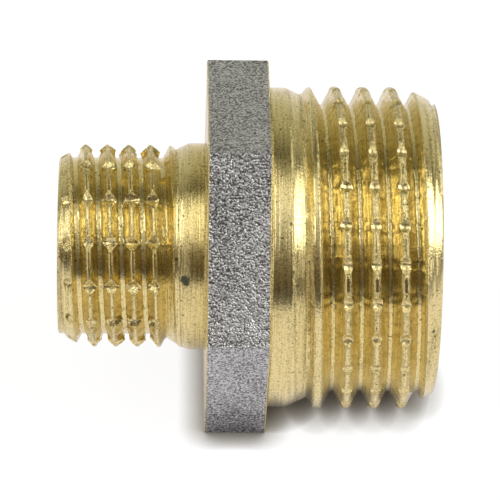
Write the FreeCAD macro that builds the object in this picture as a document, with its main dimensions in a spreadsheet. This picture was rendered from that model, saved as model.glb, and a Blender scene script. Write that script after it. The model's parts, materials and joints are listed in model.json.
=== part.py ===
import FreeCAD, Part
import os
import Sketcher

# Reducing nipple of brass: one piece turned from hexagon bar, with a large and a small
# male pipe thread on either side of the hexagon and a stepped bore right through it.
# Millimetres. The axis is X, the small end is at -X and the large end at +X. The nipple
# lies on one flat of its hexagon, which is level, and the origin is on the axis at the
# middle of the hexagon's width.

# The driving dimensions. What belongs to one thread starts with large or small, and its
# lengths run outwards from the hexagon's face on that side. The lead of its groove is how
# far before the shank's end the groove starts.
SIZES = (
    ("across_flats", 21.0),
    ("hexagon_width", 4.0),
    ("hexagon_edge_break", 0.12),
    ("flank_angle", 55.0),
    ("large_major_diameter", 20.955),
    ("large_pitch", 1.8143),
    ("large_spigot_length", 10.8),
    ("large_shank_diameter", 20.7),
    ("large_shank_length", 1.4),
    ("large_runout_length", 2.2),
    ("large_chamfer_length", 2.1),
    ("large_chamfer_depth", 1.22),
    ("large_groove_lead", 1.5),
    ("small_major_diameter", 13.157),
    ("small_pitch", 1.337),
    ("small_spigot_length", 9.5),
    ("small_shank_diameter", 13.3),
    ("small_shank_length", 1.7),
    ("small_runout_length", 1.7),
    ("small_chamfer_length", 1.6),
    ("small_chamfer_depth", 0.96),
    ("small_groove_lead", 1.41),
    ("small_bore_diameter", 8.5),
    ("large_bore_diameter", 15.0),
    ("large_bore_depth", 12.2),
)

# The depth of the thread is this share of the height that its flanks would have if they
# ran on to sharp crests and roots.
DEPTH_SHARE = 2 / 3

# How far a cutting outline runs past the metal, in mm.
OVERRUN = 1.0

# The two halves of a turned outline are joined inside the hexagon. Each half starts at
# this share of the hexagon's width from its middle.
JOIN_SHARE = 0.2


class Spigot:
    # The sizes of one threaded end, as expressions of the driving dimensions. Its side is
    # 1 for the large end, which points along the axis, and -1 for the small one.
    def __init__(self, end, side):
        self.end = end
        self.side = side
        self.crest = "%s / 2" % self.size("major_diameter")
        sharp_height = "%s / (2 * tan(dims.flank_angle / 2))" % self.size("pitch")
        self.depth = "%s * (%s)" % (DEPTH_SHARE, sharp_height)
        self.root = "(%s - %s)" % (self.crest, self.depth)
        self.shank = "%s / 2" % self.size("shank_diameter")
        self.join = "dims.hexagon_width * %s" % JOIN_SHARE
        self.face = "dims.hexagon_width / 2 + %s" % self.size("spigot_length")
        self.shank_end = "dims.hexagon_width / 2 + %s" % self.size("shank_length")
        self.runout_end = "%s + %s" % (self.shank_end, self.size("runout_length"))

    def size(self, name):
        return "dims.%s_%s" % (self.end, name)

    def corner(self, name, distance, radius):
        # A corner of an outline at a distance from the hexagon's middle, on this side.
        return (self.end + "_" + name, "%d * (%s)" % (self.side, distance), radius)


SMALL = Spigot("small", -1)
LARGE = Spigot("large", 1)


def add_sheet(document):
    # The spreadsheet holds each driving dimension beside its name.
    sheet = document.addObject("Spreadsheet::Sheet", "dims")
    for row, (name, value) in enumerate(SIZES, start=1):
        sheet.set("A%d" % row, name)
        sheet.set("B%d" % row, str(value))
        sheet.setAlias("B%d" % row, name)
    document.recompute()


def origin_feature(body, role):
    # One of the body's own origin planes or axes.
    return [item for item in body.Origin.OriginFeatures if item.Role == role][0]


def add_sketch(body, name, plane):
    sketch = body.newObject("Sketcher::SketchObject", name)
    sketch.AttachmentSupport = [(origin_feature(body, plane), "")]
    sketch.MapMode = "FlatFace"
    return sketch


def hold_corner(sketch, line, direction, expression, name):
    # Ties a line's first point to the origin along one direction of the sketch, by the
    # distance that the expression gives. A distance of nothing puts it on the axis.
    value = float(sketch.evalExpression(expression))
    if value == 0:
        axis = -2 if direction == "DistanceX" else -1
        sketch.addConstraint(Sketcher.Constraint("PointOnObject", line, 1, axis))
        return
    if value > 0:
        constraint = Sketcher.Constraint(direction, -1, 1, line, 1, value)
    else:
        constraint = Sketcher.Constraint(direction, line, 1, -1, 1, -value)
        expression = "-(%s)" % expression
    index = sketch.addConstraint(constraint)
    sketch.renameConstraint(index, name)
    sketch.setExpression("Constraints." + name, expression)


def add_outline(body, name, plane, corners):
    # A closed outline of straight lines. Each corner has a name and its two distances
    # from the origin, as expressions of the driving dimensions.
    sketch = add_sketch(body, name, plane)
    places = []
    for corner, across, up in corners:
        values = [float(sketch.evalExpression(item)) for item in (across, up)]
        places.append(FreeCAD.Vector(values[0], values[1], 0))
    for start, end in zip(places, places[1:] + places[:1]):
        sketch.addGeometry(Part.LineSegment(start, end), False)
    for line, (corner, across, up) in enumerate(corners):
        following = (line + 1) % len(corners)
        sketch.addConstraint(Sketcher.Constraint("Coincident", line, 2, following, 1))
        hold_corner(sketch, line, "DistanceX", across, corner + "_x")
        hold_corner(sketch, line, "DistanceY", up, corner + "_y")
    return sketch


def turn_outline(body, kind, name, corners):
    # A full turn of an outline about the nipple's axis, added or cut away.
    sketch = add_outline(body, name + "_outline", "XY_Plane", corners)
    feature = body.newObject("PartDesign::" + kind, name)
    feature.Profile = sketch
    feature.ReferenceAxis = (origin_feature(body, "X_Axis"), [""])
    feature.Angle = 360.0
    return feature


def blank_corners(spigot):
    # Half of the turned blank: the thread's full diameter with its end chamfer, and a
    # core at the thread's root where the shank comes later.
    chamfer_start = "%s - %s" % (spigot.face, spigot.size("chamfer_length"))
    chamfer_radius = "%s - %s" % (spigot.crest, spigot.size("chamfer_depth"))
    return [
        spigot.corner("join", spigot.join, spigot.root),
        spigot.corner("step_foot", spigot.shank_end, spigot.root),
        spigot.corner("step_top", spigot.shank_end, spigot.crest),
        spigot.corner("chamfer_start", chamfer_start, spigot.crest),
        spigot.corner("chamfer_end", spigot.face, chamfer_radius),
        spigot.corner("face", spigot.face, "0"),
    ]


def add_blank(body):
    corners = blank_corners(SMALL)[::-1] + blank_corners(LARGE)
    return turn_outline(body, "Revolution", "blank", corners)


def add_thread(body, spigot):
    # The right-hand groove of the thread: a V whose point follows the thread's root. It
    # starts before the shank's end, where the shank and the hexagon cover it later, and
    # runs off the spigot's end by one pitch.
    place = "(%s - %s)" % (spigot.shank_end, spigot.size("groove_lead"))
    reach = "%s + %s" % (spigot.crest, OVERRUN)
    half_width = "(%s + %s) * tan(dims.flank_angle / 2)" % (spigot.depth, OVERRUN)
    corners = [
        spigot.corner("groove_point", place, spigot.root),
        spigot.corner("groove_near", "%s - %s" % (place, half_width), reach),
        spigot.corner("groove_far", "%s + %s" % (place, half_width), reach),
    ]
    sketch = add_outline(body, spigot.end + "_groove_outline", "XZ_Plane", corners)
    thread = body.newObject("PartDesign::SubtractiveHelix", spigot.end + "_thread")
    thread.Profile = sketch
    thread.ReferenceAxis = (origin_feature(body, "X_Axis"), [""])
    thread.Mode = "pitch-height-angle"
    thread.LeftHanded = False
    thread.Reversed = spigot.side < 0
    thread.setExpression("Pitch", spigot.size("pitch"))
    height = "%s - %s + %s" % (spigot.face, place, spigot.size("pitch"))
    thread.setExpression("Height", height)


def shank_corners(spigot):
    # The plain shank beside the hexagon and the cone in which the thread runs out.
    return [
        spigot.corner("shank_join", spigot.join, spigot.shank),
        spigot.corner("shank_end", spigot.shank_end, spigot.shank),
        spigot.corner("runout_end", spigot.runout_end, spigot.root),
        spigot.corner("runout_axis", spigot.runout_end, "0"),
    ]


def add_shanks(body):
    corners = shank_corners(SMALL)[::-1] + shank_corners(LARGE)
    turn_outline(body, "Revolution", "shanks", corners)


def add_hexagon_outline(body, name, place):
    # A regular hexagon with two level flats, in a plane across the axis at this place.
    sketch = add_sketch(body, name, "YZ_Plane")
    sketch.setExpression("AttachmentOffset.Base.z", place)
    corner = "dims.across_flats / sqrt(3)"
    radius = float(sketch.evalExpression(corner))
    places = []
    for index in range(6):
        turn = FreeCAD.Rotation(FreeCAD.Vector(0, 0, 1), 60.0 * index)
        places.append(turn.multVec(FreeCAD.Vector(radius, 0, 0)))
    for start, end in zip(places, places[1:] + places[:1]):
        sketch.addGeometry(Part.LineSegment(start, end), False)
    circle = Part.Circle(FreeCAD.Vector(), FreeCAD.Vector(0, 0, 1), radius)
    guide = sketch.addGeometry(circle, True)
    sketch.addConstraint(Sketcher.Constraint("Coincident", guide, 3, -1, 1))
    for line in range(6):
        following = (line + 1) % 6
        sketch.addConstraint(Sketcher.Constraint("Coincident", line, 2, following, 1))
        sketch.addConstraint(Sketcher.Constraint("PointOnObject", line, 1, guide))
    for line in range(5):
        sketch.addConstraint(Sketcher.Constraint("Equal", line, line + 1))
    sketch.addConstraint(Sketcher.Constraint("PointOnObject", 0, 1, -1))
    size = sketch.addConstraint(Sketcher.Constraint("Radius", guide, radius))
    sketch.renameConstraint(size, "corner_radius")
    sketch.setExpression("Constraints.corner_radius", corner)
    return sketch


def add_hexagon(body):
    # The hexagon: its full section over most of the width, and a thin layer on either
    # side that tapers by half a right angle, which breaks the edges of the flats.
    layer = "dims.hexagon_edge_break"
    inner = "(dims.hexagon_width / 2 - %s)" % layer
    section = body.newObject("PartDesign::Pad", "hexagon")
    section.Profile = add_hexagon_outline(body, "hexagon_outline", "-" + inner)
    section.setExpression("Length", "2 * " + inner)
    for spigot in (SMALL, LARGE):
        place = "%d * %s" % (spigot.side, inner)
        name = spigot.end + "_edge_break"
        edge = body.newObject("PartDesign::Pad", name)
        edge.Profile = add_hexagon_outline(body, name + "_outline", place)
        edge.Reversed = spigot.side < 0
        edge.TaperAngle = -45.0
        edge.setExpression("Length", layer)


def add_bore(body):
    # The stepped bore: the large one is bored from the large end to a flat shoulder, and
    # the small one runs on to the small end.
    small = "dims.small_bore_diameter / 2"
    large = "dims.large_bore_diameter / 2"
    shoulder = "%s - dims.large_bore_depth" % LARGE.face
    small_mouth = "%s + %s" % (SMALL.face, OVERRUN)
    large_mouth = "%s + %s" % (LARGE.face, OVERRUN)
    corners = [
        SMALL.corner("mouth_axis", small_mouth, "0"),
        SMALL.corner("mouth", small_mouth, small),
        LARGE.corner("shoulder_foot", shoulder, small),
        LARGE.corner("shoulder_edge", shoulder, large),
        LARGE.corner("mouth", large_mouth, large),
        LARGE.corner("mouth_axis", large_mouth, "0"),
    ]
    turn_outline(body, "Groove", "stepped_bore", corners)


def check(document, body):
    # Stops if a feature failed or the finished piece isn't one sound solid.
    for item in document.Objects:
        if "Invalid" in item.State or "Error" in item.State:
            raise RuntimeError("%s did not build: %s" % (item.Label, item.State))
    shape = body.Shape
    if shape.isNull() or not shape.isValid() or len(shape.Solids) != 1:
        raise RuntimeError("%s is not one valid solid" % body.Label)


def main():
    document = FreeCAD.newDocument("reducing_nipple")
    add_sheet(document)
    body = document.addObject("PartDesign::Body", "nipple_body")
    body.Label = "nipple_body"
    add_blank(body)
    for spigot in (SMALL, LARGE):
        add_thread(body, spigot)
    add_shanks(body)
    add_hexagon(body)
    add_bore(body)
    document.recompute()
    check(document, body)
    os.makedirs("parts", exist_ok=True)
    body.Shape.exportStep("parts/%s.step" % body.Label)
    print("%s: volume %.1f mm3" % (body.Label, body.Shape.Volume))


main()
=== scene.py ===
import bpy
import json
import math
import numpy as np
from mathutils import Matrix, Vector


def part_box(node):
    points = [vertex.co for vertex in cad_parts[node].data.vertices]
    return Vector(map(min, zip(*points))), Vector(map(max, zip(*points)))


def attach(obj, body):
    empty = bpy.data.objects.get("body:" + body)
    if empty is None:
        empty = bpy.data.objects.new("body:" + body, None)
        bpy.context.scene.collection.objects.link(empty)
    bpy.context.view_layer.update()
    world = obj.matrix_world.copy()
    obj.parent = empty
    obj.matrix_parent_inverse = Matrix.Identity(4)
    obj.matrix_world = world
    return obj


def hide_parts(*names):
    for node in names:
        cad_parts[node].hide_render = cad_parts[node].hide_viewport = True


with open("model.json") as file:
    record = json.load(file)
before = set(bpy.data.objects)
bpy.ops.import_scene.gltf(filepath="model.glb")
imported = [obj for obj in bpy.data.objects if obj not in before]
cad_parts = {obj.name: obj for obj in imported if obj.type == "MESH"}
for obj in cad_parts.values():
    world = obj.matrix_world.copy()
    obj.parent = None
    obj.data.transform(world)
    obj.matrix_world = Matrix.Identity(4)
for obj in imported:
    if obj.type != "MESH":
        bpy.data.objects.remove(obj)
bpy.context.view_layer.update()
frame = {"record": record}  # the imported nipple, in metres
millimetre = 0.001  # lengths are in millimetres until a mesh is made
lowCorner, highCorner = [np.array(corner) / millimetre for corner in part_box("nipple_body")]
mounts = {mount["name"]: mount for mount in frame["record"]["mounts"]}
print("frame loaded")

turn = 2 * math.pi
seed = 7
phaseAngle = math.radians(58.4)  # around the axis, where each thread's crestAt is measured
sharpAngle = math.radians(38)    # edges that bend by more than this are shaded as sharp
pathApart = 40                   # keeps the tool's paths on the two ends apart


def newShell():
    # An empty surface: its points, their places along the tool's path, its triangles,
    # the number of each triangle's material and the count of points so far.
    return {"points": [], "paths": [], "faces": [], "skins": [], "count": 0}


def addPoints(shell, points, paths):
    # Stores a grid of points, each with its place along the tool's path, and gives back
    # their numbers in a grid of the same shape.
    numbers = shell["count"] + np.arange(points[..., 0].size).reshape(points.shape[:-1])
    shell["points"].append(points.reshape(-1, 3))
    shell["paths"].append(paths.reshape(-1, 3))
    shell["count"] += points[..., 0].size
    return numbers


def addTriangles(shell, triangles, skin):
    # Triangles that have lost a corner because two of their points are one are left out.
    a, b, c = triangles.T
    whole = triangles[(a != b) & (b != c) & (c != a)]
    shell["faces"].append(whole)
    shell["skins"].append(np.full(len(whole), skin))


def addGrid(shell, numbers, skin=0):
    # Each cell between two rows and two neighbouring columns gives two triangles.
    a, b = numbers[:-1, :-1], numbers[:-1, 1:]
    c, d = numbers[1:, 1:], numbers[1:, :-1]
    addTriangles(shell, np.stack([a, b, c], -1).reshape(-1, 3), skin)
    addTriangles(shell, np.stack([a, c, d], -1).reshape(-1, 3), skin)


def closeRing(numbers):
    # The grid with its first column repeated after its last.
    return np.concatenate([numbers, numbers[:, :1]], axis=1)


def inOrder(angles, ring):
    # The points of a ring and their angles, sorted by the angle within one turn.
    angles = np.mod(angles, turn)
    order = np.argsort(angles)
    return ring[order], angles[order]


def edgeMiddles(angles):
    # The angle halfway from each point of a sorted ring to the next one.
    return (angles + np.append(angles[1:], angles[0] + turn)) / 2


def zipRings(shell, first, firstAngles, second, secondAngles):
    # Joins two closed rings with different counts of points. The edges of both are taken
    # in the order of their middle angles, and each makes a triangle with the point that
    # the other ring has reached by then.
    firstMiddles, secondMiddles = edgeMiddles(firstAngles), edgeMiddles(secondAngles)
    reachedSecond = np.searchsorted(secondMiddles, firstMiddles) % len(second)
    reachedFirst = np.searchsorted(firstMiddles, secondMiddles) % len(first)
    one = np.stack([first, np.roll(first, -1), second[reachedSecond]], -1)
    two = np.stack([first[reachedFirst], np.roll(second, -1), second], -1)
    addTriangles(shell, one, 0)
    addTriangles(shell, two, 0)


def onCircle(x, radius, angles):
    # The point at x along the axis, with the radius times the cosine of its angle towards
    # the back and the radius times the sine upwards.
    parts = np.broadcast_arrays(x, radius * np.cos(angles), radius * np.sin(angles))
    return np.stack(parts, -1)


def waves(x, y, count, low, high, offset):
    # A smooth random height: the sum of plane waves over x and y in random directions,
    # with wave numbers between low and high, of about unit size.
    rng = np.random.default_rng(seed + offset)
    total = np.zeros(np.broadcast(x, y).shape)
    for direction, number, start in zip(rng.uniform(0, turn, count),
                                        rng.uniform(low, high, count),
                                        rng.uniform(0, turn, count)):
        total += np.sin(number * (x * math.cos(direction) + y * math.sin(direction)) + start)
    return total / math.sqrt(count / 2)


def wandering(s, offset, count=24, low=15, high=110):
    # A smooth random line over s, of about unit size: the sum of sines with wave numbers
    # between low and high.
    rng = np.random.default_rng(seed + offset)
    total = 0 * s
    for number, start in zip(rng.uniform(low, high, count), rng.uniform(0, turn, count)):
        total += np.sin(number * s + start)
    return total / math.sqrt(count / 2)


def softLeast(a, b, blend):
    # The lesser of two heights, with the crease between them rounded over the blend.
    mix = np.clip(0.5 + 0.5 * (b - a) / blend, 0, 1)
    return b + (a - b) * mix - blend * mix * (1 - mix)


def softRamp(x, reach):
    # Nought before 0 and x after it, with a parabola across the corner from one reach
    # before it to one reach after it.
    curve = (x + reach) ** 2 / (4 * reach)
    return np.where(x < -reach, 0, np.where(x > reach, x, curve))


# Places along the axis count from the hexagon's middle towards the end's own face. The
# body and the fill list such places with radii.
largeEnd = {
    "side": 1,
    "faceAt": highCorner[0],
    "crestRadius": mounts["large_thread"]["dims"]["r_mm"],
    "pitch": 1.8143,
    "depth": 1.162,
    "crestAt": 8.09,       # place of one of the crests
    "crestHalf": 0.16,     # half the crest's width if its corners were sharp
    "rootHalf": 0.12,
    "crestRound": 0.07,    # reach of the rounding on either side of such a corner
    "rootRound": 0.03,
    "wander": 0.012,       # how far the crest's edges wander
    "body": [(2.0, 10.34), (2.035, 10.44), (2.13, 10.385), (3.22, 10.37), (3.30, 10.34),
             (4.12, 9.96), (4.18, 9.96), (4.58, 10.42), (5.5, 10.4775), (10.8, 10.4775),
             (12.2, 9.80), (12.26, 9.74), (12.74, 9.49), (12.8, 9.40)],
    "fill": [(3.2, 10.4), (3.3, 10.30), (4.12, 9.93), (4.2, 9.90), (4.6, 9.72), (5.2, 9.2),
             (5.6, 8.0)],
    "sway": 0.10,          # the run-out lies askew by this much
    "swayFrom": math.radians(103),
    "firstCrest": -2,      # number of the crest in the run-out, wider on its shank side
    "firstSpread": 0.14,   # by how much it is wider
    "gridFrom": 2.7,
    "rows": [-0.42, -0.33, -0.26, -0.21, -0.16, -0.09, 0.0, 0.09, 0.16, 0.21, 0.26, 0.33,
             0.42, 0.58, 0.775, 0.81, 0.9072, 1.004, 1.04, 1.234],  # of the grid, by a crest
    "nicks": 26,
    "nickAt": math.radians(2.35),
    "nickJitter": 0.05,
    "nickHalf": 0.46,      # half of a nick's width around the crest
    "nickDepth": 0.25,
    "nickSharp": 1.7,      # 1 is a plain V and more is a rounder bowl
    "nickDish": 0.45,      # how much shallower a nick is beside its middle
    "nickFrom": 5.75,
    "nickTo": 11.3,
    "nickFade": 0.3,       # nicks fade over this length before nickTo
    "lip": 0.08,           # how far the metal pushed aside stands over the flank
    "lipWidth": 0.09,
    "rim": 0.015,          # the same, before and behind the nick
    "columns": [0, 0.12, 0.24, 0.34, 0.42, 0.50, 0.85],  # of the grid, beside a nick
}

smallEnd = {
    "side": -1,
    "faceAt": -lowCorner[0],
    "crestRadius": mounts["small_thread"]["dims"]["r_mm"],
    "pitch": 1.395,        # as it measures in the photo
    "depth": 0.856,
    "crestAt": 7.063,
    "crestHalf": 0.09,
    "rootHalf": 0.16,
    "crestRound": 0.05,
    "rootRound": 0.03,
    "wander": 0.008,
    "body": [(2.0, 6.80), (2.13, 6.745), (2.9, 6.72), (3.12, 6.71), (3.58, 6.55), (3.72, 6.48),
             (3.95, 6.36), (4.1, 6.40), (4.35, 6.56), (5.0, 6.5785), (9.9, 6.5785),
             (11.43, 5.74), (11.5, 5.64)],
    "fill": [(3.1, 6.71), (3.58, 6.50), (3.79, 6.40), (4.0, 6.25), (4.4, 6.0), (4.9, 5.7),
             (5.3, 4.5)],
    "sway": 0.0,
    "swayFrom": 0.0,
    "firstCrest": 0,
    "firstSpread": 0.0,
    "gridFrom": 3.0,
    "rows": [-0.34, -0.27, -0.21, -0.15, -0.09, -0.045, 0.0, 0.045, 0.09, 0.15, 0.21, 0.27,
             0.34, 0.50, 0.565, 0.6975, 0.83, 0.895],
    "nicks": 14,
    "nickAt": math.radians(18.52),
    "nickJitter": 0.02,
    "nickHalf": 0.50,
    "nickDepth": 0.40,
    "nickSharp": 1.3,
    "nickDish": 0.0,
    "nickFrom": 4.95,
    "nickTo": 13.0,
    "nickFade": 5.5,
    "lip": 0.25,
    "lipWidth": 0.08,
    "rim": 0.0,
    "columns": [0, 0.08, 0.17, 0.26, 0.35, 0.43, 0.50, 0.66, 1.05],
}

bothEnds = {
    "swayBetween": [2.4, 2.9, 6.0, 7.5],  # the skew rises, stays and fades between these
    "spreadUntil": 5.6,    # the wider crest narrows over one radian before this angle
    "fillBlend": 0.05,
    "bodyBlend": 0.03,
    "nickTable": (6, 60, 40),  # random numbers for each nick, nicks in a turn, turns
    "nickRise": 0.3,       # nicks deepen over this length after nickFrom
    "nickVary": 0.2,       # share by which their depth varies
    "nickTilt": 0.25,      # share by which their floor leans
    "nickAcross": 1.3,     # they end here across the crest, as a multiple of its half width
    "lipVary": 0.35,       # share by which the metal pushed aside varies
    "lipRise": 0.35,       # share of it that stands up
    "lipFrom": 0.35,       # there is none where the body lies this far below the crest
    "lipFade": 0.3,
    "rimWidth": 0.07,
    "rimDown": 0.15,       # the rim ends this far down the flank
    "cutFade": 0.1,        # depth at which the tool's path has become the thread's
    "pathInNick": 1.5,     # how fast the path's lines pass across a nick
    "pathNickFade": 3,
    "margin": 0.03,        # rows of the grid this near its edge lie on it
    "spareTurns": 3,       # turns that the grid starts before and ends after the metal
}


def endAngles(end):
    # The columns of a threaded end, as turning angles measured its own way round. They
    # crowd around the nicks.
    step = turn / end["nicks"]
    offsets = np.array(end["columns"]) / end["crestRadius"]
    offsets = np.concatenate([-offsets[:0:-1], offsets, [step / 2]])
    start = end["side"] * end["nickAt"]
    angles = start + step * np.arange(end["nicks"])[:, None] + offsets
    return angles.ravel()


def threadSurface(end, along, angle):
    # Radius, axial shift and tool path of a threaded end, as functions of the distance
    # along the axis from the hexagon's middle and of the turning angle. The radius is the
    # lesser of the turned body and the thread, whose groove is never deeper than the
    # filling at its run-out. Each nick presses the crest down to a floor and pushes the
    # metal beside it out over both flanks. The seeds of the random numbers come from the
    # count of nicks, so the ends differ.
    pitch, crest, depth = end["pitch"], end["crestRadius"], end["depth"]
    window = np.interp(along, bothEnds["swayBetween"], [0, 1, 1, 0])
    swayed = along - end["sway"] * np.sin(angle - end["swayFrom"]) * window
    body = np.interp(swayed, *np.array(end["body"]).T)
    fill = np.interp(swayed, *np.array(end["fill"]).T)

    # the groove between the crests, which are numbered along the axis
    phase = (along - end["crestAt"]) / pitch - (angle - end["side"] * phaseAngle) / turn
    crestNumber = np.round(phase)
    offset = (phase - crestNumber) * pitch
    flank = pitch / 2 - end["crestHalf"] - end["rootHalf"]
    slope = depth / flank
    past = np.abs(offset) - end["crestHalf"]
    past = past - end["wander"] * wandering(angle + turn * crestNumber, 1 + end["nicks"])
    widened = (crestNumber == end["firstCrest"]) & (offset < 0)
    past = past - end["firstSpread"] * widened * np.clip(bothEnds["spreadUntil"] - angle, 0, 1)
    groove = softRamp(past, end["crestRound"]) - softRamp(past - flank, end["rootRound"])
    cut = -softLeast(slope * groove - crest, -fill, bothEnds["fillBlend"])
    radius = softLeast(body, cut, bothEnds["bodyBlend"])

    # nicks across the crest
    step = turn / end["nicks"]
    nickPhase = (angle - end["side"] * end["nickAt"]) / step
    nickNumber = np.round(nickPhase)
    rng = np.random.default_rng(seed + end["nicks"])
    table = rng.uniform(-1, 1, bothEnds["nickTable"])
    row = nickNumber.astype(int) % end["nicks"]
    column = crestNumber.astype(int) % bothEnds["nickTable"][2]
    jitter, size, leftLip, rightLip, tiltAround, tiltAcross = table[:, row, column]
    around = (nickPhase - nickNumber) * step * crest + end["nickJitter"] * jitter
    share = np.clip(1 - np.abs(around / end["nickHalf"]), 0, 1)
    bowl = 1 - (1 - share) ** end["nickSharp"]
    strength = np.clip((along - end["nickFrom"]) / bothEnds["nickRise"], 0, 1)
    strength = strength * np.clip((end["nickTo"] - along) / end["nickFade"], 0, 1)
    bowl = bowl * strength * (1 + bothEnds["nickVary"] * size)
    floorDepth = end["nickDepth"] * bowl
    edgeAt = end["crestHalf"] + floorDepth / slope
    across = offset / edgeAt
    dish = 1 - end["nickDish"] * np.clip(np.abs(across), 0, 1) ** 2
    lean = tiltAround * around / end["nickHalf"] + tiltAcross * across
    tilt = 1 + bothEnds["nickTilt"] * lean
    pressed = np.clip(radius - (body - floorDepth * dish * tilt), 0, None)
    radius = radius - np.where(np.abs(across) < bothEnds["nickAcross"], pressed, 0)

    # the metal pushed aside: lips on both flanks, and a rim before and behind the nick
    lipShape = np.exp(-((np.abs(offset) - edgeAt) / end["lipWidth"]) ** 2)
    lipSize = 1 + bothEnds["lipVary"] * np.where(offset > 0, rightLip, leftLip)
    room = np.clip((body - (crest - bothEnds["lipFrom"])) / bothEnds["lipFade"], 0, 1)
    push = end["lip"] * lipSize * bowl * lipShape * room
    shift = np.sign(offset) * push
    rim = np.exp(-((np.abs(around) - end["nickHalf"]) / bothEnds["rimWidth"]) ** 2)
    onCrest = np.clip(1 - slope * groove / bothEnds["rimDown"], 0, 1)
    radius = radius + bothEnds["lipRise"] * push + end["rim"] * rim * strength * onCrest * room

    # the tool's path: along the axis on turned stretches, around the pitch on the thread
    threaded = np.clip((body - radius) / bothEnds["cutFade"], 0, 1)
    loop = pitch / turn
    inNick = np.clip(bowl * bothEnds["pathNickFade"], 0, 1) * onCrest
    crossed = bothEnds["pathInNick"] * around * inNick
    paths = np.stack([(along + radius) * (1 - threaded) + crossed,
                      loop * np.cos(phase * turn) * threaded + pathApart * end["side"],
                      loop * np.sin(phase * turn) * threaded + crossed], -1)
    return radius, shift, paths


def placeOnEnd(end, along, angle, radius):
    # The point at a distance along the end's own axis, an angle its own way round and a
    # radius. The small end is the large one's kind turned about the upright.
    return onCircle(end["side"] * along, radius, end["side"] * angle)


def addThreadedEnd(shell, end):
    # The outside of one end from the hexagon's face to its end face. The rows of the grid
    # climb with the thread by a pitch in each turn. Rows that would pass either end of
    # the grid stay on its edge and share one point in each column.
    pitch = end["pitch"]
    angles = endAngles(end)
    start, stop = end["gridFrom"], end["faceAt"]
    first = math.floor((start - end["crestAt"]) / pitch) - bothEnds["spareTurns"]
    last = math.ceil((stop - end["crestAt"]) / pitch) + bothEnds["spareTurns"]
    offsets = np.array(end["rows"])
    base = (end["crestAt"] + pitch * np.arange(first, last)[:, None] + offsets).ravel()
    climb = (angles - end["side"] * phaseAngle) / turn * pitch
    along = base[:, None] + climb
    along = np.where(along < start + bothEnds["margin"], start, along)
    along = np.where(along > stop - bothEnds["margin"], stop, along)
    radius, shift, paths = threadSurface(end, along, angles + 0 * along)
    numbers = addPoints(shell, placeOnEnd(end, along + shift, angles, radius), paths)
    numbers = np.where(along <= start, numbers[0], numbers)
    numbers = np.where(along >= stop, numbers[-1], numbers)
    nextTurn = np.minimum(np.arange(len(base)) + len(offsets), len(base) - 1)
    addGrid(shell, np.concatenate([numbers, numbers[nextTurn, :1]], axis=1))

    # the plain shank between the grid and the hexagon
    shank = hexagon["half"] + np.array(hexagon["footSteps"])[:, None] + 0 * angles
    radius, shift, paths = threadSurface(end, shank, angles + 0 * shank)
    foot = addPoints(shell, placeOnEnd(end, shank + shift, angles, radius), paths)
    addGrid(shell, closeRing(np.concatenate([foot, numbers[:1]])))
    return angles, foot[0], numbers[-1]


hexagon = {
    "acrossFlats": highCorner[2] - lowCorner[2],
    "half": 2.0,           # half its width along the axis
    "acrossSteps": 80,     # grid over one flat
    "alongSteps": 28,
    "crowding": 0.04,      # share by which the grid's columns crowd to the corners
    "relief": 0.012,
    "reliefFrom": 1.2,     # only grain below this shows in the relief
    "reliefTo": 4,         # and no more than this of it
    "reliefFade": 0.25,    # it fades over this length towards a corner
    "reliefEdgeFade": 0.12,  # and over this one towards an edge, down to a share of
    "reliefAtEdge": 0.15,
    "grainSeed": 3,
    "swell": 0.8,          # share of slow waves in the grain
    "swellStep": 0.11,     # their way from one column of the grid to the next
    "swellWaves": (24, 2, 6, 11),  # count, least and greatest wave number, seed
    "edgeBreak": 0.08,     # width of the broken edge, and the share by which it wanders
    "edgeWander": 0.12,
    "edgeStretch": 9,      # how fast it wanders around the hexagon
    "edgeWaves": (9, 1, 5, 12),  # count, least and greatest wave number, seed
    "footGap": 0.05,       # the last ring on an end face stands off the shank by this
    "faceRings": [1.0, 0.75, 0.5, 0.25, 0.0],  # on an end face, from its rim to the shank
    "footSteps": [0, 0.035, 0.13, 0.26, 0.4, 0.55],  # rows on either shank, from its foot
}


def hexagonRing(apothem, steps):
    # A closed ring of points around a hexagon: its corner angles are whole sixths of a
    # turn, and points on a flat are spread as a raised cosine that crowds to the corners
    # a little. Gives the angles, the radii, each point's place across its flat and the
    # angle of that flat's middle.
    spread = np.arange(steps) / steps
    spread = spread - hexagon["crowding"] * np.sin(spread * turn)
    across = (spread * 2 - 1) * apothem / math.sqrt(3)
    angle = np.arctan2(across, apothem)
    radius = np.hypot(across, apothem)
    middles = math.radians(30) + math.radians(60) * np.arange(6)[:, None]
    flatAngles = np.repeat(middles, steps)
    return (middles + angle).ravel(), np.tile(radius, 6), np.tile(across, 6), flatAngles


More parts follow.
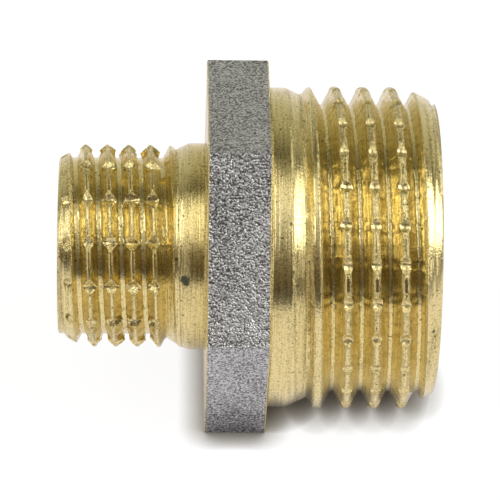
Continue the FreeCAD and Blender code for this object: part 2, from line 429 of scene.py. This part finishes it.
def addHexagon(shell):
    # The six flats as one closed grid: an even prism with a fine random relief that fades
    # towards the corners, a narrow broken edge along both sides, and rings on both end
    # faces that pass from the hexagon to a circle around the shank.
    apothem = hexagon["acrossFlats"] / 2
    halfFlat = apothem / math.sqrt(3)
    half, edge = hexagon["half"], hexagon["edgeBreak"]
    angles, radii, across, flatAngles = hexagonRing(apothem, hexagon["acrossSteps"])
    inner = half - edge
    along = np.linspace(-inner, inner, hexagon["alongSteps"])[:, None]
    rng = np.random.default_rng(seed + hexagon["grainSeed"])
    grain = rng.normal(size=(len(along), len(angles)))
    grain = (grain + np.roll(grain, 1, 0) + np.roll(grain, 1, 1)) / math.sqrt(3)
    columns = np.arange(len(angles)) * hexagon["swellStep"]
    grain = grain + hexagon["swell"] * waves(along, columns, *hexagon["swellWaves"])
    fade = np.clip((halfFlat - np.abs(across)) / hexagon["reliefFade"], 0, 1)
    fade = fade * np.clip((inner - np.abs(along)) / hexagon["reliefEdgeFade"],
                          hexagon["reliefAtEdge"], 1)
    height = np.clip(grain - hexagon["reliefFrom"], -hexagon["reliefTo"], 0)
    height = hexagon["relief"] * height * fade
    points = onCircle(along, radii, angles)
    points = points + height[..., None] * onCircle(0, 1, flatAngles)
    numbers = addPoints(shell, points, points)
    addGrid(shell, closeRing(numbers), 1)

    wander = waves(angles * hexagon["edgeStretch"], 0 * angles, *hexagon["edgeWaves"])
    shrink = 1 - edge / apothem * (1 + hexagon["edgeWander"] * wander)
    share = np.array(hexagon["faceRings"])[:, None]
    rings = {}
    for end, row in ((smallEnd, numbers[0]), (largeEnd, numbers[-1])):
        side = end["side"]
        foot = np.interp(half, *np.array(end["body"]).T) + hexagon["footGap"]
        reach = radii * shrink * share + foot * (1 - share)
        path = np.stack([half + reach, pathApart * side + 0 * reach, 0 * reach], -1)
        face = addPoints(shell, onCircle(side * half, reach, angles), path)
        rows = np.concatenate([row[None], face])
        addGrid(shell, closeRing(rows if side > 0 else rows[::-1]))
        rings[side] = face[-1]
    return angles, rings


bore = {
    "smallRadius": mounts["small_bore"]["dims"]["r_mm"],
    "largeRadius": mounts["large_bore"]["dims"]["r_mm"],
    "shoulderAt": highCorner[0] - mounts["large_bore"]["dims"]["length_mm"],
    "mouth": 0.25,         # chamfer at either mouth
    "cornerRing": 0.1,     # rings this near the shoulder's outer corner
    "cornerBreak": 0.03,
    "innerBreak": 0.05,
    "wallRings": 9,
    "shoulderRings": 6,
    "columns": 96,
}


def addBore(shell):
    # The bore as rings from the large mouth to the small one, with chamfered mouths and a
    # flat shoulder between its two radii.
    small, large = bore["smallRadius"], bore["largeRadius"]
    mouth, shoulder, rings = bore["mouth"], bore["shoulderAt"], bore["wallRings"]
    largeFace, smallFace = largeEnd["faceAt"], -smallEnd["faceAt"]
    largeWall = np.linspace(largeFace - mouth, shoulder + bore["cornerRing"], rings)
    smallWall = np.linspace(shoulder, smallFace + mouth, rings)[1:]
    shoulderRadii = np.linspace(large - bore["cornerRing"], small + bore["innerBreak"],
                                bore["shoulderRings"])
    profile = [(largeFace, large + mouth)]
    profile += [(x, large) for x in largeWall]
    profile += [(shoulder + bore["cornerBreak"], large - bore["cornerBreak"])]
    profile += [(shoulder, r) for r in shoulderRadii]
    profile += [(shoulder - bore["innerBreak"], small)]
    profile += [(x, small) for x in smallWall]
    profile += [(smallFace, small + mouth)]
    x, r = np.array(profile).T[..., None]
    angles = np.arange(bore["columns"]) / bore["columns"] * turn
    paths = np.stack(np.broadcast_arrays(np.abs(x) + r, pathApart * np.sign(x), 0 * angles), -1)
    numbers = addPoints(shell, onCircle(x, r, angles), paths)
    addGrid(shell, closeRing(numbers))
    return angles, numbers[0], numbers[-1]


def makeNipple():
    # Both ends, the hexagon and the bore as one closed mesh: rings that meet are zipped
    # together, and points that no triangle uses are dropped.
    shell = newShell()
    largeAngles, largeFoot, largeRim = addThreadedEnd(shell, largeEnd)
    smallAngles, smallFoot, smallRim = addThreadedEnd(shell, smallEnd)
    hexAngles, hexRings = addHexagon(shell)
    boreAngles, largeMouth, smallMouth = addBore(shell)
    zipRings(shell, *inOrder(hexAngles, hexRings[1]), *inOrder(largeAngles, largeFoot))
    zipRings(shell, *inOrder(-smallAngles, smallFoot), *inOrder(hexAngles, hexRings[-1]))
    zipRings(shell, *inOrder(largeAngles, largeRim), largeMouth, boreAngles)
    zipRings(shell, smallMouth, boreAngles, *inOrder(-smallAngles, smallRim))

    faces = np.concatenate(shell["faces"])
    skins = np.concatenate(shell["skins"])
    used, faces = np.unique(faces, return_inverse=True)
    points = np.concatenate(shell["points"])[used] * millimetre
    paths = np.concatenate(shell["paths"])[used]
    mesh = bpy.data.meshes.new("nipple")
    mesh.from_pydata(points.tolist(), [], faces.reshape(-1, 3).tolist())
    mesh.polygons.foreach_set("material_index", skins.astype(np.int32))
    attribute = mesh.attributes.new("toolPath", "FLOAT_VECTOR", "POINT")
    attribute.data.foreach_set("vector", paths.astype(np.float32).ravel())
    mesh.shade_smooth()
    mesh.set_sharp_from_angle(angle=sharpAngle)
    mesh.update()
    piece = bpy.data.objects.new("nipple", mesh)
    bpy.context.scene.collection.objects.link(piece)
    print("nipple mesh:", len(mesh.polygons), "triangles")
    return piece


# Small helpers for the materials. Each adds its node and gives back its output.
def addNode(tree, kind, inputs=None, **settings):
    # Sets the node's settings first, then links each input that comes from a socket and
    # sets the others. Gives back the node itself.
    node = tree.nodes.new(kind)
    for name, value in settings.items():
        setattr(node, name, value)
    for name, value in (inputs or {}).items():
        if isinstance(value, bpy.types.NodeSocket):
            tree.links.new(value, node.inputs[name])
        else:
            node.inputs[name].default_value = value
    return node


def addMath(tree, operation, first, second=0.0, clamp=False):
    node = addNode(tree, "ShaderNodeMath", {0: first, 1: second}, operation=operation)
    node.use_clamp = clamp
    return node.outputs[0]


def addVectorMath(tree, operation, inputs):
    # Gives both outputs, since a length comes from "Value" and a vector from "Vector".
    return addNode(tree, "ShaderNodeVectorMath", inputs, operation=operation).outputs


def addShares(tree, values, shares):
    # The sum of the values, each times its share.
    total = addMath(tree, "MULTIPLY", values[0], shares[0])
    for value, share in zip(values[1:], shares[1:]):
        total = addMath(tree, "ADD", total, addMath(tree, "MULTIPLY", value, share))
    return total


def addRise(tree, value, start, gain):
    # Nought up to the start, then the way past it times the gain, up to 1.
    return addMath(tree, "MULTIPLY", addMath(tree, "SUBTRACT", value, start), gain, clamp=True)


def addNoise(tree, place, scale, detail):
    inputs = {"Vector": place, "Scale": scale, "Detail": detail}
    return addNode(tree, "ShaderNodeTexNoise", inputs).outputs["Fac"]


def addMix(tree, share, first, second):
    inputs = {"Factor": share, "A": first, "B": second}
    return addNode(tree, "ShaderNodeMix", inputs, data_type="RGBA").outputs["Result"]


def addRamp(tree, factor, stops):
    # Passes through the colour of each stop at its position.
    node = addNode(tree, "ShaderNodeValToRGB", {"Fac": factor})
    ramp = node.color_ramp
    while len(ramp.elements) < len(stops):
        ramp.elements.new(1.0)
    for element, (position, colour) in zip(ramp.elements, stops):
        element.position = position
        element.color = (*colour, 1)
    return node.outputs[0]


def newMaterial(name):
    # A material with nothing in it but its output node.
    material = bpy.data.materials.new(name)
    material.use_nodes = True
    tree = material.node_tree
    tree.nodes.clear()
    output = tree.nodes.new("ShaderNodeOutputMaterial")
    return material, tree, output


brass = {
    "fineLines": (8.0, 3.0),   # scale and detail of each noise
    "broadLines": (2.6, 1.0),
    "streaks": (1.0, 3.0),
    "grain": (8500.0, 1.0),
    "patches": (420.0, 4.0),
    "specks": (5200.0, 0.0),
    "streakAlong": 8000.0,     # streaks change this fast along the axis and the radius
    "streakAround": 2.4,
    "bump": 0.033,
    "bumpStrength": 0.8,
    "bumpShares": (1.0, 0.55, 0.6, 0.30),  # of fine lines, broad lines, streaks and grain
    "shadeShares": (0.1, 0.5, 0.4),        # of patches, grain and streaks
    "shades": [(0.31, (0.36, 0.29, 0.13)), (0.44, (0.64, 0.54, 0.24)),
               (0.54, (0.84, 0.705, 0.345))],  # stained, dull and bright brass
    "roughness": 0.20,
    "streakRoughness": 0.2,
    "flankRoughness": 0.22,
    "flankFrom": 0.5,          # a surface that leans further along the axis is a flank
    "flankGain": 3.3,
    "specksFrom": 0.75,
    "specksGain": 12.0,
    "specksShare": 0.8,
    "spotColour": (0.075, 0.085, 0.04),
    "spotReach": 0.45,         # with the grain this gives a spot's size
    "spotEdge": 0.25,          # share of it over which the spot fades
    "spots": [  # along the axis, angle around it in degrees, radius, size of the spot
        (-3.90, 156.0, 6.40, 0.14), (-3.30, 169.5, 6.71, 0.22),
        (-3.42, 167.7, 6.70, 0.40), (-4.86, 123.6, 6.20, 0.16), (-2.68, 197.1, 6.75, 0.07),
        (-2.23, 198.8, 6.80, 0.07), (12.30, 181.0, 9.72, 0.12), (12.42, 183.5, 9.66, 0.09),
        (12.25, 170.0, 9.76, 0.06), (11.9, 191.0, 9.95, 0.05), (3.45, 117.6, 10.27, 0.05),
        (3.62, 117.5, 10.19, 0.06), (3.80, 117.6, 10.10, 0.05), (3.95, 117.5, 10.03, 0.05),
    ],
}


def addSpots(tree, place, grain):
    # A mask that is 1 inside the spots of grime, with an uneven edge.
    mask = 0.0
    for along, degrees, radius, size in brass["spots"]:
        angle = math.radians(degrees)
        centre = Vector((along, radius * math.cos(angle), radius * math.sin(angle))) * millimetre
        distance = addVectorMath(tree, "DISTANCE", {0: place, 1: centre})["Value"]
        reach = addMath(tree, "MULTIPLY", addMath(tree, "ADD", grain, brass["spotReach"]),
                        size * millimetre)
        inside = addMath(tree, "DIVIDE", addMath(tree, "SUBTRACT", reach, distance),
                         brass["spotEdge"] * size * millimetre, clamp=True)
        mask = addMath(tree, "MAXIMUM", inside, mask)
    return mask


def addStreaks(tree, place):
    # Streaks around the axis: noise over the direction from the axis, which passes slowly,
    # plus the sum of the distances along and from the axis, which passes fast.
    parts = addNode(tree, "ShaderNodeSeparateXYZ", {0: place}).outputs
    radial = addNode(tree, "ShaderNodeCombineXYZ", {"Y": parts["Y"], "Z": parts["Z"]}).outputs[0]
    radius = addVectorMath(tree, "LENGTH", {0: radial})["Value"]
    direction = addVectorMath(tree, "NORMALIZE", {0: radial})["Vector"]
    slow = addVectorMath(tree, "SCALE", {0: direction, "Scale": brass["streakAround"]})["Vector"]
    fast = addMath(tree, "MULTIPLY", addMath(tree, "ADD", parts["X"], radius),
                   brass["streakAlong"])
    fast = addNode(tree, "ShaderNodeCombineXYZ", {"X": fast}).outputs[0]
    both = addVectorMath(tree, "ADD", {0: slow, 1: fast})["Vector"]
    return addNoise(tree, both, *brass["streaks"])


def makeTurnedBrass():
    # Turned brass: fine tool lines run around it, from noise over the tool's path, with
    # streaks that come and go, patchy dulling, dark specks, a few spots of grime, and
    # flanks that are a little rougher.
    material, tree, output = newMaterial("turnedBrass")
    path = addNode(tree, "ShaderNodeAttribute", attribute_name="toolPath").outputs["Vector"]
    coordinates = addNode(tree, "ShaderNodeTexCoord").outputs
    place = coordinates["Object"]
    streak = addStreaks(tree, place)
    fine = addNoise(tree, path, *brass["fineLines"])
    broad = addNoise(tree, path, *brass["broadLines"])
    grain = addNoise(tree, place, *brass["grain"])
    patch = addNoise(tree, place, *brass["patches"])
    speck = addNoise(tree, place, *brass["specks"])
    height = addShares(tree, (fine, broad, streak, grain), brass["bumpShares"])
    bump = addNode(tree, "ShaderNodeBump", {"Height": height, "Strength": brass["bumpStrength"],
                                            "Distance": brass["bump"] * millimetre})
    shade = addShares(tree, (patch, grain, streak), brass["shadeShares"])
    colour = addRamp(tree, shade, brass["shades"])
    spots = addSpots(tree, place, grain)
    specks = addRise(tree, speck, brass["specksFrom"], brass["specksGain"])
    specks = addMath(tree, "MULTIPLY", specks, brass["specksShare"])
    grime = addMath(tree, "MAXIMUM", spots, specks)
    colour = addMix(tree, grime, colour, (*brass["spotColour"], 1))
    lean = addNode(tree, "ShaderNodeSeparateXYZ", {0: coordinates["Normal"]}).outputs["X"]
    steep = addRise(tree, addMath(tree, "ABSOLUTE", lean), brass["flankFrom"], brass["flankGain"])
    rough = addShares(tree, (streak, steep), (brass["streakRoughness"],
                                              brass["flankRoughness"] - brass["roughness"]))
    rough = addMath(tree, "ADD", rough, brass["roughness"] - brass["streakRoughness"] / 2)
    shader = addNode(tree, "ShaderNodeBsdfPrincipled", {
        "Base Color": colour, "Metallic": addMath(tree, "SUBTRACT", 1.0, spots),
        "Roughness": rough, "Normal": bump.outputs["Normal"]})
    tree.links.new(shader.outputs[0], output.inputs["Surface"])
    return material


skin = {
    "grain": (7600.0, 1.0),    # scale and detail of each noise
    "patches": (300.0, 3.0),
    "bump": 0.07,
    "shadeShares": (0.8, 0.2),  # of grain and patches
    "shades": [(0.38, (0.13, 0.127, 0.123)), (0.60, (0.68, 0.685, 0.68))],
    "roughness": 0.36,
}


def makeBlastedSkin():
    # The grey skin of the bar on the flats: coarse bright and dark grains.
    material, tree, output = newMaterial("blastedSkin")
    place = addNode(tree, "ShaderNodeTexCoord").outputs["Object"]
    grain = addNoise(tree, place, *skin["grain"])
    patch = addNoise(tree, place, *skin["patches"])
    bump = addNode(tree, "ShaderNodeBump", {"Height": grain, "Strength": 1.0,
                                            "Distance": skin["bump"] * millimetre})
    shade = addShares(tree, (grain, patch), skin["shadeShares"])
    colour = addRamp(tree, shade, skin["shades"])
    shader = addNode(tree, "ShaderNodeBsdfPrincipled", {
        "Base Color": colour, "Metallic": 1.0, "Roughness": skin["roughness"],
        "Normal": bump.outputs["Normal"]})
    tree.links.new(shader.outputs[0], output.inputs["Surface"])
    return material


# The stage is in metres.
stage = {
    "floorSize": 3.0,
    "floorColour": 0.12,
    "glow": 0.93,          # of the floor to the camera, and in reflections
    "glowInMetal": 0.84,
    # brown colour of the painted shadow on the floor
    "paintedShadowTint": (0.52, 0.42, 0.29),
    "mirrorTint": (1.0, 0.955, 0.99),
    "frontEdge": -0.072,   # in reflections the floor is pale up to here, in front
    "frontFade": 0.012,
    "shade": 0.96,         # painted shadow: share of the glow that is lost right under the nipple
    "paintedShadeCurve": 1.5,
    "paintedShadowReach": 0.0018,  # how far off the nipple the painted shadow darkens the floor to the camera
    "mirroredPaintedShadowReach": 0.0022,   # and in reflections, where the brass shows the painted shadow
    "occlusionSamples": 8,
    "boxDistance": 0.42,
    "boxes": [  # middle to the right of the nipple, elevation, width, height, radiance
        (-1.26, 65.0, 0.52, 0.46, 2.2),
        (-0.72, 65.0, 0.56, 0.46, 0.3),
        (-0.33, 65.0, 0.22, 0.46, 2.4),
        (0.0, 68.0, 0.40, 0.17, 0.26),
        (0.90, 64.0, 1.36, 0.50, 2.9),
        (0.56, 13.0, 0.28, 0.13, 1.4),
    ],
    "studio": [  # from the front horizon over the top to the one behind
        (0.0, (0.095, 0.072, 0.050)), (0.05, (0.15, 0.12, 0.085)),
        (0.11, (0.195, 0.162, 0.117)), (0.155, (0.32, 0.29, 0.25)), (0.26, (0.60, 0.58, 0.57)),
        (0.33, (0.80, 0.77, 0.76)), (0.44, (0.65, 0.63, 0.56)), (0.50, (0.28, 0.27, 0.20)),
        (0.555, (0.12, 0.115, 0.075)), (0.61, (0.20, 0.19, 0.14)), (0.70, (0.45, 0.44, 0.35)),
        (0.85, (0.60, 0.59, 0.52)), (1.0, (0.80, 0.80, 0.80)),
    ],
}


def makeFloor():
    # A pale floor that shows white to the camera and in reflections, up to its front edge. Near
    # the nipple a painted shadow darkens and browns its glow, by how little of the room reaches
    # it there; its dim diffuse part keeps a real shadow as well.
    mesh = bpy.data.meshes.new("floor")
    half, level = stage["floorSize"] / 2, lowCorner[2] * millimetre
    corners = [(-half, -half, level), (half, -half, level),
               (half, half, level), (-half, half, level)]
    mesh.from_pydata(corners, [], [(0, 1, 2, 3)])
    floor = bpy.data.objects.new("floor", mesh)
    bpy.context.scene.collection.objects.link(floor)
    material, tree, output = newMaterial("floorWhite")
    rays = addNode(tree, "ShaderNodeLightPath").outputs
    toCamera = rays["Is Camera Ray"]
    place = addNode(tree, "ShaderNodeTexCoord").outputs["Object"]
    depth = addNode(tree, "ShaderNodeSeparateXYZ", {0: place}).outputs["Y"]
    near = addMath(tree, "DIVIDE", addMath(tree, "SUBTRACT", depth, stage["frontEdge"]),
                   stage["frontFade"], clamp=True)
    mirrored = addMath(tree, "MAXIMUM", rays["Is Glossy Ray"], rays["Is Transmission Ray"])
    mirrored = addMath(tree, "MULTIPLY", mirrored,
                       addMath(tree, "MULTIPLY", near, stage["glowInMetal"]))
    seen = addMath(tree, "MULTIPLY", toCamera, stage["glow"])

    # openness is 1 where the floor sees all of the room; where it is less, a painted shadow
    # darkens the glow
    reach = addMath(tree, "MULTIPLY", toCamera, stage["paintedShadowReach"] - stage["mirroredPaintedShadowReach"])
    reach = addMath(tree, "ADD", reach, stage["mirroredPaintedShadowReach"])
    openness = addNode(tree, "ShaderNodeAmbientOcclusion", {"Distance": reach},
                       samples=stage["occlusionSamples"]).outputs["AO"]
    openShare = addMath(tree, "POWER", openness, stage["paintedShadeCurve"])
    openShare = addMath(tree, "MULTIPLY", openShare, stage["shade"])
    openShare = addMath(tree, "ADD", openShare, 1 - stage["shade"])
    glow = addMath(tree, "MULTIPLY", openShare, addMath(tree, "MAXIMUM", seen, mirrored))
    tone = stage["floorColour"]
    diffuse = addNode(tree, "ShaderNodeBsdfDiffuse", {"Color": (tone, tone, tone, 1)})
    # the painted shadow is tinted brown; in reflections the floor's glow is tinted a little
    tint = addMix(tree, openness, (*stage["paintedShadowTint"], 1), (1, 1, 1, 1))
    tint = addMix(tree, toCamera, (*stage["mirrorTint"], 1), tint)
    emission = addNode(tree, "ShaderNodeEmission", {"Color": tint, "Strength": glow})
    both = addNode(tree, "ShaderNodeAddShader", {0: diffuse.outputs[0], 1: emission.outputs[0]})
    tree.links.new(both.outputs[0], output.inputs["Surface"])
    mesh.materials.append(material)


def makeLights():
    # Six softboxes: five in a row high in front, of which the second from the left and
    # the middle one are dim, and a small one low in front on the right. Around them is a
    # studio that is dark low in front and overhead, and pale towards the back.
    for right, elevation, width, height, radiance in stage["boxes"]:
        angle = math.radians(elevation)
        lamp = bpy.data.lights.new("softbox", "AREA")
        lamp.shape = "RECTANGLE"
        lamp.size, lamp.size_y = width, height
        lamp.energy = radiance * math.pi * width * height
        softbox = bpy.data.objects.new("softbox", lamp)
        softbox.location = (right, -stage["boxDistance"] * math.cos(angle),
                            stage["boxDistance"] * math.sin(angle))
        softbox.rotation_euler = (math.pi / 2 - angle, 0, 0)
        bpy.context.scene.collection.objects.link(softbox)

    world = bpy.data.worlds.new("studio")
    bpy.context.scene.world = world
    world.use_nodes = True
    tree = world.node_tree
    tree.nodes.clear()
    direction = addNode(tree, "ShaderNodeTexCoord").outputs["Generated"]
    parts = addNode(tree, "ShaderNodeSeparateXYZ", {0: direction}).outputs
    around = addMath(tree, "ARCTAN2", parts["Z"], addMath(tree, "MULTIPLY", parts["Y"], -1.0))
    share = addMath(tree, "DIVIDE", around, math.pi, clamp=True)
    colour = addRamp(tree, share, stage["studio"])
    background = addNode(tree, "ShaderNodeBackground", {"Color": colour, "Strength": 1.0})
    output = tree.nodes.new("ShaderNodeOutputWorld")
    tree.links.new(background.outputs[0], output.inputs["Surface"])


camera = {
    "yaw": math.radians(-1.731),
    "elevation": math.radians(31.553),
    "roll": math.radians(1.3986),
    "distance": 236.0,
    "scale": 15.357,       # pixels to the millimetre at the nipple
    "framePixels": 500,
    "sensor": 36.0,
    "clipStart": 0.01,     # in metres
    "aim": (0.9034, -0.2177),  # the frame's middle, right of and above the nipple's centre
}


def makeCamera():
    # A long lens that looks at the nipple from the front and above, as in the photo.
    yaw, elevation, roll = camera["yaw"], camera["elevation"], camera["roll"]
    forward = Vector((-math.sin(yaw) * math.cos(elevation), math.cos(yaw) * math.cos(elevation),
                      -math.sin(elevation)))
    level = Vector((math.cos(yaw), math.sin(yaw), 0))
    upright = level.cross(forward)
    right = level * math.cos(roll) + upright * math.sin(roll)
    up = upright * math.cos(roll) - level * math.sin(roll)
    aim = right * camera["aim"][0] + up * camera["aim"][1]
    data = bpy.data.cameras.new("camera")
    data.sensor_width = camera["sensor"]
    data.lens = camera["scale"] * camera["distance"] / camera["framePixels"] * camera["sensor"]
    data.clip_start = camera["clipStart"]
    view = bpy.data.objects.new("camera", data)
    axes = Matrix((right, up, -forward)).transposed().to_4x4()
    place = (aim - forward * camera["distance"]) * millimetre
    view.matrix_world = Matrix.Translation(place) @ axes
    bpy.context.scene.collection.objects.link(view)
    bpy.context.scene.camera = view


nipple = makeNipple()
nipple.data.materials.append(makeTurnedBrass())
nipple.data.materials.append(makeBlastedSkin())
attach(nipple, "root")
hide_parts("nipple_body")
print("nipple dressed")

makeFloor()
makeLights()
makeCamera()
bpy.context.scene.view_settings.view_transform = "Standard"
print("stage set")
